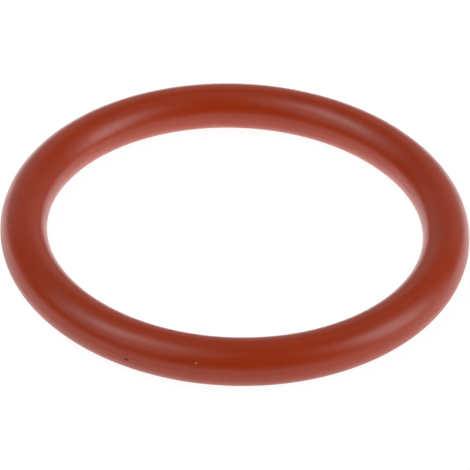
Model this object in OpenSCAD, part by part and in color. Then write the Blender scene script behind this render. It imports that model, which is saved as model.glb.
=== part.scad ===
// Moulded silicone o-ring: one endless round cord, pressed in a two-part mould.
// The ring's axis is Z. The origin is the ring's centre, on the parting plane, so it lies on z = -section_r.

/* [Ring] */
// Inside diameter of the free ring, measured on the bare round section
inner_d = 24.2; // [18:0.1:60]
// Diameter of the round section
section_d = 3; // [2:0.1:5]

/* [Parting line] */
// How far the trimmed flash stands out of the section, on the inside and the outside of the ring
flash_h = 0.03; // [0.02:0.01:0.1]
// Width of the flash where it leaves the section
flash_root_w = 0.2; // [0.18:0.01:0.4]
// Width of the plain crest that trimming leaves
flash_crest_w = 0.1; // [0.06:0.01:0.16]

/* [Hidden] */
$fn = 192;

section_r = section_d / 2;
// radius of the circle that the middle of the section runs round
mean_r = (inner_d + section_d) / 2;
// distance from the section's middle to the points where the flash leaves it
root_x = sqrt(section_r * section_r - flash_root_w * flash_root_w / 4);
crest_x = section_r + flash_h;
// lean of the flash's sides: how much the half width grows for each millimetre back from the crest
flank_lean = (flash_root_w - flash_crest_w) / 2 / (crest_x - root_x);
// the sides run on into the section, so that flash and section are one piece of rubber
flash_foot_x = section_r - 2 * flash_h;

// half width of the flash at distance x from the section's middle
function flash_half_w(x) = flash_crest_w / 2 + flank_lean * (crest_x - x);

// one flash line, standing out of the section along +X
module flash() {
    polygon([
        [flash_foot_x, -flash_half_w(flash_foot_x)],
        [crest_x, -flash_half_w(crest_x)],
        [crest_x, flash_half_w(crest_x)],
        [flash_foot_x, flash_half_w(flash_foot_x)]
    ]);
}

// the moulded section: a full circle with the trimmed flash at its inner and outer parting points
module moulded_section() {
    circle(r = section_r);
    flash();
    rotate(180) flash();
}

module o_ring() {
    color("#92321e")
        rotate_extrude() translate([mean_r, 0]) moulded_section();
}

o_ring();
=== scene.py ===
import math
from collections import namedtuple

import bmesh
import bpy
from mathutils import Matrix, Vector, noise


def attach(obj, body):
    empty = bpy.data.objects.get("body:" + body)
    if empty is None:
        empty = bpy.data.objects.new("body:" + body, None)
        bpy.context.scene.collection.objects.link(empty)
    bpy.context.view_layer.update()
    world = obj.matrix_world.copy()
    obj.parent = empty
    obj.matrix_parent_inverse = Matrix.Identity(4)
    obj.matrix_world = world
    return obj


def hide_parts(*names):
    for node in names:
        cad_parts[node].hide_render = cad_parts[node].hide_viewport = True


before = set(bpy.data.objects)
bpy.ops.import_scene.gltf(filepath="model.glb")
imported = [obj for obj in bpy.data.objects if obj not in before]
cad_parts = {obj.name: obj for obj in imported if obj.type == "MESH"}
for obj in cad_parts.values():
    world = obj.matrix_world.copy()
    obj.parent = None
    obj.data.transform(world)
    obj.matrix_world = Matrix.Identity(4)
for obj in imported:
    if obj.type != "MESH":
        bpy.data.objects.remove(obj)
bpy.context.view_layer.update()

# Sizes of the ring, in millimetres as in the part's source
MM = 0.001
INNER_D = 24.2                       # free inside diameter of the bare section
SECTION_R = 3.0 / 2                  # radius of the round cord
MEAN_R = INNER_D / 2 + SECTION_R     # circle that the middle of the cord runs round
FLASH_H = 0.03                       # height of the flash in the source
HIGHEST = 0.95 * FLASH_H             # nothing here stands further out of the section

# Fineness of the mesh
SECTION_STEPS = 96                   # points round the cord
RING_STEPS = 160                     # sections that the spin makes round the ring
STEP_CUTS = 3                        # cuts that then make each of those steps finer
FINE_CUTS = 3                        # more cuts along the parting lines and in the marks
MERGE_DIST = 0.001                   # points at the spin's seam that lie closer become one

# The two parting lines: their place round the cord in degrees, and a seed for their unevenness
OUTER_LINE = 0.0
INNER_LINE = 180.0
LINE_SEEDS = ((OUTER_LINE, 3.1), (INNER_LINE, 8.7))

# What trimming leaves of the flash, in millimetres. Waves round the ring make it uneven.
TRIM_HEIGHT = 0.0045                 # usual height
TRIM_LOWEST = 0.0015
TRIM_ROOT = 0.11                     # half width where it leaves the section
TRIM_CREST = 0.04                    # half width of its flat crest
SLOW_WAVES, SLOW_HEIGHT = 7.0, 0.005        # how it rises and falls along the ring
QUICK_WAVES, QUICK_HEIGHT = 60.0, 0.002     # and its finer nibbled look
DRIFT_WAVES, DRIFT = 18.0, 0.012     # how the line wanders off the ring's middle plane
DRIFT_SHIFT = Vector((0, 0, 5.0))

# Stretches where the outer flash was left standing higher:
# middle and half span in degrees, and extra height in mm. Each fades out over a third of its half span.
HIGH_FLASH = [(-66.0, 10.0, 0.005), (65.0, 9.0, 0.005), (180.0, 75.0, 0.009)]
FADE_SHARE = 1 / 3

# Small marks of moulding, trimming and handling. Each is a short stroke on the cord's surface:
# start and end as (round_ring, round_cord) in degrees, half width in mm, height in mm (minus is a dent),
# and how much dark dirt and pale dust it carries.
Mark = namedtuple("Mark", "start end half_w height dirt dust", defaults=(0.0, 0.0))
MARKS = [
    # torn pit on the outer parting line
    Mark((-25.2, -3.0), (-24.9, -2.8), 0.080, -0.060, dirt=0.95),
    # nick on the inner edge of the top, with the sliver that it lifted
    Mark((-17.0, 110.6), (-16.2, 111.0), 0.050, -0.030, dirt=0.60),
    Mark((-15.6, 111.5), (-10.6, 112.8), 0.030, 0.012, dust=0.10),
    # hard grains and bubbles under the skin, the largest with a dark ring round it
    Mark((-8.1, 29.0), (-7.9, 29.0), 0.165, -0.004, dirt=0.26),
    Mark((-8.1, 29.0), (-7.9, 29.0), 0.048, 0.016, dust=0.70),
    Mark((-1.1, 1.4), (-0.7, 1.3), 0.036, 0.008, dust=0.20),
    Mark((20.7, 12.5), (21.0, 12.5), 0.050, 0.010, dust=0.07),
    Mark((-172.3, 203.0), (-171.9, 203.0), 0.085, 0.018, dust=0.30),
    Mark((-115.0, 120.4), (-114.8, 120.4), 0.045, 0.010, dust=0.10),
    Mark((120.2, 127.6), (120.5, 127.6), 0.048, 0.010, dust=0.08),
    Mark((111.3, 111.6), (111.5, 111.6), 0.045, 0.010, dust=0.09),
    Mark((52.0, 73.0), (52.3, 73.0), 0.045, 0.008, dust=0.10),
    Mark((-72.4, 109.6), (-72.2, 109.6), 0.045, 0.008, dust=0.10),
    # dark specks
    Mark((54.3, 35.5), (54.6, 35.5), 0.045, -0.008, dirt=0.30),
    Mark((-26.8, 54.3), (-26.5, 54.3), 0.045, -0.006, dirt=0.25),
    Mark((-32.0, 81.5), (-31.4, 81.5), 0.080, 0.000, dirt=0.12),
    # two fine scratches across the left side
    Mark((-81.7, 48.5), (-79.4, 84.0), 0.026, -0.005, dust=0.12),
    Mark((-79.0, 66.0), (-78.0, 87.0), 0.024, -0.003, dust=0.07),
    # frayed trimming on the inner parting line at the back
    Mark((-165.6, 182.8), (-163.6, 182.0), 0.050, 0.010, dust=0.08),
    Mark((177.0, 184.0), (179.2, 184.6), 0.045, 0.010, dust=0.11),
    Mark((-173.6, 182.9), (-173.3, 182.9), 0.040, 0.010, dust=0.14),
    Mark((-175.2, 183.2), (-175.0, 183.2), 0.040, 0.010, dust=0.16),
    Mark((-176.4, 183.3), (-176.2, 183.3), 0.036, 0.010, dust=0.14),
    Mark((-178.9, 183.0), (-178.7, 183.0), 0.036, 0.010, dust=0.12),
    Mark((-179.9, 182.8), (-179.7, 182.8), 0.036, 0.010, dust=0.12),
    Mark((-176.9, 170.0), (-176.9, 176.5), 0.030, -0.006, dirt=0.16),
    Mark((-178.2, 170.0), (-178.2, 176.5), 0.030, -0.006, dirt=0.13),
    Mark((-179.2, 170.0), (-179.2, 176.5), 0.030, -0.006, dirt=0.16),
    # flash left standing on the outer parting line at the front
    Mark((13.2, 3.4), (19.4, 5.6), 0.030, 0.008, dirt=0.10),
]
MARK_FULL = 0.4                      # a mark is at full strength up to this many half widths
MARK_END = 1.6                       # and ends at this many
FINE_REACH = 2.2                     # the finer mesh reaches this many half widths off the stroke
FINE_MARGIN = 0.06                   # and this many mm further
FINE_TURN = 1.6                      # but at most this many degrees round the ring past its ends
FAR_TURN = 12                        # marks that start this many degrees away aren't looked at

# Colours of the rubber, and of what lies on it
RUBBER = (0.307, 0.0260, 0.0022)
RUBBER_LIGHT = (0.326, 0.0284, 0.0032)
RUBBER_DARK = (0.2665, 0.0214, 0.0022)
DIRT = (0.070, 0.017, 0.002)
DUST = (0.62, 0.24, 0.16)
RUBBER_IOR = 1.41
HANDLED, MOULDED, TORN = 0.31, 0.36, 0.75    # roughness of each kind of surface
CLOUDS, GRAINS = 0.45, 4.0           # waves in a millimetre, of the pigment's two patterns
GRAIN_SHARE = 0.22                   # how much of the dark colour the grains take
HANDLED_SPOTS = 0.6                  # waves in a millimetre, of the glossier places
MOULD_WAVES = 9.0                    # waves in a millimetre, of the mould's finest relief
MOULD_RELIEF = 0.0012                # its height in mm

# The studio, in metres and degrees. Azimuth 0 is the camera's side, plus to the right.
FLOOR_R = 2.5
FLOOR_STEPS = 96
FLOOR_MATT = 0.9                     # lightness of the floor for the light that falls on the ring
FLOOR_IN_GLOSS = (0.60, 0.30)        # lightness and glow of the floor that shows in gloss
FLOOR_SEEN = (0.10, 0.95)            # lightness and glow of the floor that the camera sees
LAMP_DISTANCE = 0.6
Softbox = namedtuple("Softbox", "name azimuth elevation width height radiance distance",
                     defaults=(LAMP_DISTANCE,))
SOFTBOXES = [
    Softbox("left softbox", -78, 59, 0.20, 0.30, 3.85),
    Softbox("left halo", -62, 48, 0.60, 0.60, 1.13),
    Softbox("left wide halo", -78, 55, 0.70, 0.70, 0.31),
    Softbox("right softbox", 81, 28, 0.28, 0.42, 4.40),
    Softbox("right wide halo", 82, 30, 0.70, 0.70, 0.62),
    # two small pale panels close behind the ring
    Softbox("low back panel", 180, 25, 0.132, 0.030, 0.58, distance=0.06),
    Softbox("high back panel", 180, 70, 0.096, 0.036, 0.40, distance=0.06),
]
# Two lamps a hair above the floor make it a glowing table, which is brighter behind the ring.
TABLE_HALF = 0.6
TABLE_LIFT = 0.01 * MM
TABLE_BACK, TABLE_FRONT = 0.88, 0.56
# Brightness of the room as light: dim all round, with a low pale wall behind the ring
ROOM_GLOW = 0.02
WALL_GLOW = 0.22
WALL_TOP = (0.24, 0.31)              # sine of the elevation from which the wall fades, and where it ends
WALL_SIDES = (0.30, 0.45)            # cosine of the turn off straight back where it begins, and is full

# The camera, fitted to both outlines of the ring in the photograph
FRAME_PX = 470
FOCAL_PX = 3684.0
CENTRE_PX = (235.11, 227.77)         # where the ring's centre is seen in the frame
CAMERA_ELEVATION, CAMERA_ROLL = 37.215, 2.08
CAMERA_DISTANCE = 17.45 * MEAN_R * MM
SENSOR_MM = 36.0
CLIP_START = 0.01


# Places on the ring. round_ring: degrees, 0 at the front (-Y), plus towards +X.
# round_cord: degrees, 0 on the outer parting line, 90 on top, 180 on the inner parting line.
def place(round_ring, round_cord, r):
    """Point at distance r from the middle of the cord, in millimetres."""
    a, b = math.radians(round_ring), math.radians(round_cord)
    rho = MEAN_R + r * math.cos(b)
    return Vector((rho * math.sin(a), -rho * math.cos(a), r * math.sin(b)))


def where(co):
    """round_ring and round_cord of a point that is given in metres."""
    p = co / MM
    rho = math.hypot(p.x, p.y)
    return (math.degrees(math.atan2(p.x, -p.y)),
            math.degrees(math.atan2(p.z, rho - MEAN_R)))


def turn_between(a, b):
    """Smallest turn from b to a, in degrees."""
    return (a - b + 180.0) % 360.0 - 180.0


def soft_step(x):
    """0 up to x = 0, 1 from x = 1 on, and a smooth curve between."""
    x = min(1.0, max(0.0, x))
    return x * x * (3.0 - 2.0 * x)


# The moulded cord
def spin_cord(bm):
    """Spin one section round the ring's axis. The points lie closer together near the parting lines."""
    bmesh.ops.create_circle(bm, cap_ends=False, segments=SECTION_STEPS, radius=SECTION_R * MM)
    bmesh.ops.rotate(bm, verts=bm.verts[:], cent=(0, 0, 0),
                     matrix=Matrix.Rotation(math.radians(90), 3, "X"))
    one_step = 2 * math.pi / SECTION_STEPS * SECTION_R * MM
    near_line = 1.2 * one_step           # takes in the first step on either side of a parting line
    by_parting_line = [e for e in bm.edges if all(abs(v.co.z) < near_line for v in e.verts)]
    bmesh.ops.subdivide_edges(bm, edges=by_parting_line, cuts=FINE_CUTS)
    bmesh.ops.translate(bm, verts=bm.verts[:], vec=(MEAN_R * MM, 0, 0))
    bmesh.ops.spin(bm, geom=bm.verts[:] + bm.edges[:], cent=(0, 0, 0), axis=(0, 0, 1), dvec=(0, 0, 0),
                   angle=2 * math.pi, steps=RING_STEPS, use_merge=True, use_duplicate=False)
    bmesh.ops.remove_doubles(bm, verts=bm.verts[:], dist=MERGE_DIST * MM)
    bmesh.ops.recalc_face_normals(bm, faces=bm.faces[:])
    quarter_step = 90 / RING_STEPS
    along = [e for e in bm.edges
             if abs(turn_between(where(e.verts[0].co)[0], where(e.verts[1].co)[0])) > quarter_step]
    bmesh.ops.subdivide_edges(bm, edges=along, cuts=STEP_CUTS, use_grid_fill=True)


def flash_height(round_ring, line, ring_point):
    """Height of the trimmed flash on one parting line."""
    height = max(TRIM_LOWEST, TRIM_HEIGHT
                 + SLOW_HEIGHT * noise.noise(ring_point * SLOW_WAVES)
                 + QUICK_HEIGHT * noise.noise(ring_point * QUICK_WAVES))
    if line == OUTER_LINE:
        for middle, half_span, extra in HIGH_FLASH:
            inside = (half_span - abs(turn_between(round_ring, middle))) / half_span
            height += extra * soft_step(inside / FADE_SHARE)
    return height


def flash(round_ring, round_cord):
    """How far the trimmed flash stands out of the round section here."""
    a = math.radians(round_ring)
    out = 0.0
    for line, seed in LINE_SEEDS:
        across = math.radians(turn_between(round_cord, line)) * SECTION_R
        if abs(across) > TRIM_ROOT + DRIFT:
            continue
        ring_point = Vector((math.cos(a), math.sin(a), seed))
        drift = DRIFT * noise.noise(ring_point * DRIFT_WAVES + DRIFT_SHIFT)
        flank = (TRIM_ROOT - abs(across - drift)) / (TRIM_ROOT - TRIM_CREST)
        out += flash_height(round_ring, line, ring_point) * soft_step(flank)
    return min(out, HIGHEST)


def flat_from(a, b, round_ring, round_cord):
    """Distance in mm from the place (a, b) to another one, unrolled onto a plane."""
    rho = MEAN_R + SECTION_R * math.cos(math.radians(b))
    return (math.radians(turn_between(round_ring, a)) * rho,
            math.radians(turn_between(round_cord, b)) * SECTION_R)


def off_stroke(mark, round_ring, round_cord):
    """Distance in mm from a mark's stroke."""
    px, py = flat_from(*mark.start, round_ring, round_cord)
    ex, ey = flat_from(*mark.start, *mark.end)
    along = (px * ex + py * ey) / (ex * ex + ey * ey)
    along = min(1.0, max(0.0, along))
    return math.hypot(px - along * ex, py - along * ey)


def refine_marks(bm):
    """Finer mesh round every mark, so that its relief is real."""
    fine = set()
    places = {v: where(v.co) for v in bm.verts}
    for mark in MARKS:
        reach = mark.half_w * FINE_REACH + FINE_MARGIN
        half_turn = turn_between(mark.end[0], mark.start[0]) / 2
        near = {v for v, (a, b) in places.items()
                if abs(turn_between(a, mark.start[0] + half_turn)) < abs(half_turn) + FINE_TURN
                and off_stroke(mark, a, b) < reach}
        fine.update(e for v in near for e in v.link_edges)
    in_order = [e for e in bm.edges if e in fine]
    bmesh.ops.subdivide_edges(bm, edges=in_order, cuts=FINE_CUTS, use_grid_fill=True)


def shape_cord(bm):
    """Bring every point onto the round section, with its flash and its marks."""
    dirt = bm.verts.layers.float.new("dirt")
    dust = bm.verts.layers.float.new("dust")
    for v in bm.verts:
        a, b = where(v.co)
        out = flash(a, b)
        for mark in MARKS:
            if abs(turn_between(a, mark.start[0])) > FAR_TURN:
                continue
            off = off_stroke(mark, a, b) / mark.half_w
            weight = soft_step((MARK_END - off) / (MARK_END - MARK_FULL))
            if weight > 0:
                out += weight * mark.height
                v[dirt] = max(v[dirt], weight * mark.dirt)
                v[dust] = max(v[dust], weight * mark.dust)
        v.co = place(a, b, SECTION_R + min(out, HIGHEST)) * MM


def mesh_object(bm, name, material):
    """Object made from a finished bmesh, linked into the scene."""
    mesh = bpy.data.meshes.new(name)
    bm.to_mesh(mesh)
    bm.free()
    mesh.materials.append(material)
    obj = bpy.data.objects.new(name, mesh)
    bpy.context.scene.collection.objects.link(obj)
    return obj


def make_ring():
    bm = bmesh.new()
    spin_cord(bm)
    refine_marks(bm)
    shape_cord(bm)
    for face in bm.faces:
        face.smooth = True
    ring = mesh_object(bm, "moulded_ring", red_silicone())
    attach(ring, "root")
    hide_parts("o_ring")


# Materials
def add_node(tree, kind, **settings):
    """New node with its plain settings given by name."""
    node = tree.nodes.new(kind)
    for name, value in settings.items():
        setattr(node, name, value)
    return node


def grey(lightness):
    return (lightness, lightness, lightness, 1)


def feed(tree, socket, source):
    """Feed a socket with another node's output, a colour or a number."""
    if isinstance(source, bpy.types.NodeSocket):
        tree.links.new(source, socket)
    else:
        socket.default_value = source + (1.0,) if isinstance(source, tuple) else source


def blend(tree, kind, factor, first, second):
    """Mix node between two colours (kind RGBA) or two numbers (kind FLOAT)."""
    mix = add_node(tree, "ShaderNodeMix", data_type=kind)
    for name, source in (("Factor", factor), ("A", first), ("B", second)):
        feed(tree, mix.inputs[name], source)
    return mix.outputs["Result"]


def choose(tree, factor, first, second):
    """Mix of two shaders: the first where the factor is 0, the second where it is 1."""
    mix = add_node(tree, "ShaderNodeMixShader")
    for socket, source in zip(mix.inputs, (factor, first, second)):
        tree.links.new(source, socket)
    return mix.outputs["Shader"]


def noise_field(tree, coords, scale, detail=3.0):
    """Noise value 0 to 1. The scale counts waves in a millimetre."""
    field = add_node(tree, "ShaderNodeTexNoise")
    field.inputs["Scale"].default_value = scale
    field.inputs["Detail"].default_value = detail
    tree.links.new(coords, field.inputs["Vector"])
    return field.outputs["Fac"]


def between(tree, value, source, target, curve="SMOOTHSTEP"):
    """Value moved from one range into another, and kept within it."""
    ramp = add_node(tree, "ShaderNodeMapRange", interpolation_type=curve)
    for name, number in zip(("From Min", "From Max", "To Min", "To Max"), source + target):
        ramp.inputs[name].default_value = number
    tree.links.new(value, ramp.inputs["Value"])
    return ramp.outputs["Result"]


def mesh_value(tree, name):
    return add_node(tree, "ShaderNodeAttribute", attribute_name=name).outputs["Fac"]


def red_silicone():
    """Red-brown moulded silicone: faintly cloudy, with a satin mould finish, specks and marks."""
    mat = bpy.data.materials.new("red silicone")
    mat.use_nodes = True
    tree = mat.node_tree
    shader = tree.nodes["Principled BSDF"]
    shader.inputs["IOR"].default_value = RUBBER_IOR
    coords = add_node(tree, "ShaderNodeTexCoord")
    in_mm = add_node(tree, "ShaderNodeMapping")
    in_mm.inputs["Scale"].default_value = (1 / MM, 1 / MM, 1 / MM)
    tree.links.new(coords.outputs["Object"], in_mm.inputs["Vector"])
    spot = in_mm.outputs["Vector"]

    # pigment that isn't quite evenly mixed
    cloud = between(tree, noise_field(tree, spot, CLOUDS), (0.30, 0.70), (0.0, 1.0))
    colour = blend(tree, "RGBA", cloud, RUBBER, RUBBER_LIGHT)
    grain = between(tree, noise_field(tree, spot, GRAINS, detail=2.0), (0.35, 0.65), (0.0, GRAIN_SHARE))
    colour = blend(tree, "RGBA", grain, colour, RUBBER_DARK)
    # what lies on the rubber: dark dirt and pale dust in the marks
    colour = blend(tree, "RGBA", mesh_value(tree, "dirt"), colour, DIRT)
    colour = blend(tree, "RGBA", mesh_value(tree, "dust"), colour, DUST)
    tree.links.new(colour, shader.inputs["Base Color"])

    # satin mould finish: a little glossier where it was handled, and matt in torn and dirty spots
    handling = noise_field(tree, spot, HANDLED_SPOTS, detail=2.0)
    skin = between(tree, handling, (0.30, 0.70), (HANDLED, MOULDED))
    finish = blend(tree, "FLOAT", mesh_value(tree, "dirt"), skin, TORN)
    tree.links.new(finish, shader.inputs["Roughness"])

    # finest relief of the mould's surface
    bump = add_node(tree, "ShaderNodeBump")
    bump.inputs["Strength"].default_value = 1.0
    bump.inputs["Distance"].default_value = MOULD_RELIEF * MM
    tree.links.new(noise_field(tree, spot, MOULD_WAVES), bump.inputs["Height"])
    tree.links.new(bump.outputs["Normal"], shader.inputs["Normal"])
    return mat


def white_floor():
    """A pale matt floor. The camera sees it white with a faint shadow, and gloss sees a full one."""
    mat = bpy.data.materials.new("white floor")
    mat.use_nodes = True
    mat.cycles.emission_sampling = "NONE"
    tree = mat.node_tree
    tree.nodes.clear()

    def matt(lightness):
        node = add_node(tree, "ShaderNodeBsdfDiffuse")
        node.inputs["Color"].default_value = grey(lightness)
        return node.outputs["BSDF"]

    def glowing(lightness, glow):
        light = add_node(tree, "ShaderNodeEmission")
        light.inputs["Color"].default_value = grey(1)
        light.inputs["Strength"].default_value = glow
        both = add_node(tree, "ShaderNodeAddShader")
        tree.links.new(matt(lightness), both.inputs[0])
        tree.links.new(light.outputs["Emission"], both.inputs[1])
        return both.outputs["Shader"]

    path = add_node(tree, "ShaderNodeLightPath")
    in_gloss = add_node(tree, "ShaderNodeMath", operation="MAXIMUM")
    tree.links.new(path.outputs["Is Glossy Ray"], in_gloss.inputs[0])
    tree.links.new(path.outputs["Is Transmission Ray"], in_gloss.inputs[1])
    floor = choose(tree, in_gloss.outputs["Value"], matt(FLOOR_MATT), glowing(*FLOOR_IN_GLOSS))
    floor = choose(tree, path.outputs["Is Camera Ray"], floor, glowing(*FLOOR_SEEN))
    out = add_node(tree, "ShaderNodeOutputMaterial")
    tree.links.new(floor, out.inputs["Surface"])
    return mat


# Studio
def make_floor():
    bm = bmesh.new()
    bmesh.ops.create_circle(bm, cap_ends=True, segments=FLOOR_STEPS, radius=FLOOR_R)
    bmesh.ops.translate(bm, verts=bm.verts[:], vec=(0, 0, -SECTION_R * MM))
    mesh_object(bm, "floor", white_floor())


def area_lamp(name, width, height, radiance, location, turn):
    """Rectangular lamp that the camera doesn't see."""
    lamp = bpy.data.lights.new(name, "AREA")
    lamp.shape = "RECTANGLE"
    lamp.size, lamp.size_y = width, height
    lamp.energy = radiance * math.pi * width * height
    obj = bpy.data.objects.new(name, lamp)
    obj.location = location
    obj.rotation_euler = turn
    obj.visible_camera = False
    bpy.context.scene.collection.objects.link(obj)


def direction(azimuth, elevation):
    """Unit vector from the ring towards a place in the studio."""
    a, e = math.radians(azimuth), math.radians(elevation)
    return Vector((math.sin(a) * math.cos(e), -math.cos(a) * math.cos(e), math.sin(e)))


def make_lamps():
    for box in SOFTBOXES:
        way = direction(box.azimuth, box.elevation)
        turn = (-way).to_track_quat("-Z", "Y").to_euler()
        area_lamp(box.name, box.width, box.height, box.radiance, way * box.distance, turn)
    halves = (("light table back", 1, TABLE_BACK), ("light table front", -1, TABLE_FRONT))
    for name, side, radiance in halves:
        middle = (0, side * TABLE_HALF / 2, -SECTION_R * MM + TABLE_LIFT)
        area_lamp(name, 2 * TABLE_HALF, TABLE_HALF, radiance, middle, (math.pi, 0, 0))


def studio_air():
    """White where the camera sees it, and dim as light, with a low pale wall behind the ring."""
    world = bpy.data.worlds.new("studio air")
    bpy.context.scene.world = world
    world.use_nodes = True
    tree = world.node_tree
    tree.nodes.clear()
    coords = add_node(tree, "ShaderNodeTexCoord")
    way = add_node(tree, "ShaderNodeSeparateXYZ")
    tree.links.new(coords.outputs["Generated"], way.inputs[0])
    # how far a direction lies towards the back, whatever its height
    flat = add_node(tree, "ShaderNodeCombineXYZ")
    tree.links.new(way.outputs["X"], flat.inputs["X"])
    tree.links.new(way.outputs["Y"], flat.inputs["Y"])
    level = add_node(tree, "ShaderNodeVectorMath", operation="NORMALIZE")
    tree.links.new(flat.outputs["Vector"], level.inputs[0])
    level_way = add_node(tree, "ShaderNodeSeparateXYZ")
    tree.links.new(level.outputs["Vector"], level_way.inputs[0])
    behind = between(tree, level_way.outputs["Y"], WALL_SIDES, (0.0, 1.0))
    wall = between(tree, way.outputs["Z"], WALL_TOP, (WALL_GLOW, 0.0), curve="LINEAR")
    glow = add_node(tree, "ShaderNodeMath", operation="MULTIPLY_ADD")
    for socket, source in zip(glow.inputs, (wall, behind, ROOM_GLOW)):
        feed(tree, socket, source)

    def air(strength):
        node = add_node(tree, "ShaderNodeBackground")
        node.inputs["Color"].default_value = grey(1)
        feed(tree, node.inputs["Strength"], strength)
        return node.outputs["Background"]

    path = add_node(tree, "ShaderNodeLightPath")
    seen = choose(tree, path.outputs["Is Camera Ray"], air(glow.outputs["Value"]), air(1.0))
    out = add_node(tree, "ShaderNodeOutputWorld")
    tree.links.new(seen, out.inputs["Surface"])


def make_camera():
    spot = direction(0, CAMERA_ELEVATION) * CAMERA_DISTANCE
    roll = math.radians(CAMERA_ROLL)
    ahead = -spot.normalized()
    side = ahead.cross(Vector((0, 0, 1))).normalized()
    rise = side.cross(ahead)
    right = math.cos(roll) * side + math.sin(roll) * rise
    up = -math.sin(roll) * side + math.cos(roll) * rise
    # aim a little off the ring's centre, so that it is seen at its own place in the frame
    metres_per_px = CAMERA_DISTANCE / FOCAL_PX
    off_right, off_down = (c - FRAME_PX / 2 for c in CENTRE_PX)
    aim = up * off_down * metres_per_px - right * off_right * metres_per_px
    ahead = (aim - spot).normalized()
    right = (right - right.dot(ahead) * ahead).normalized()
    up = right.cross(ahead)
    turn = Matrix((right, up, -ahead)).transposed().to_4x4()
    turn.translation = spot
    data = bpy.data.cameras.new("camera")
    data.sensor_width = SENSOR_MM
    data.lens = FOCAL_PX / FRAME_PX * SENSOR_MM
    data.clip_start = CLIP_START
    cam = bpy.data.objects.new("camera", data)
    cam.matrix_world = turn
    bpy.context.scene.collection.objects.link(cam)
    bpy.context.scene.camera = cam


make_ring()
make_floor()
make_lamps()
studio_air()
make_camera()
bpy.context.scene.view_settings.view_transform = "Standard"
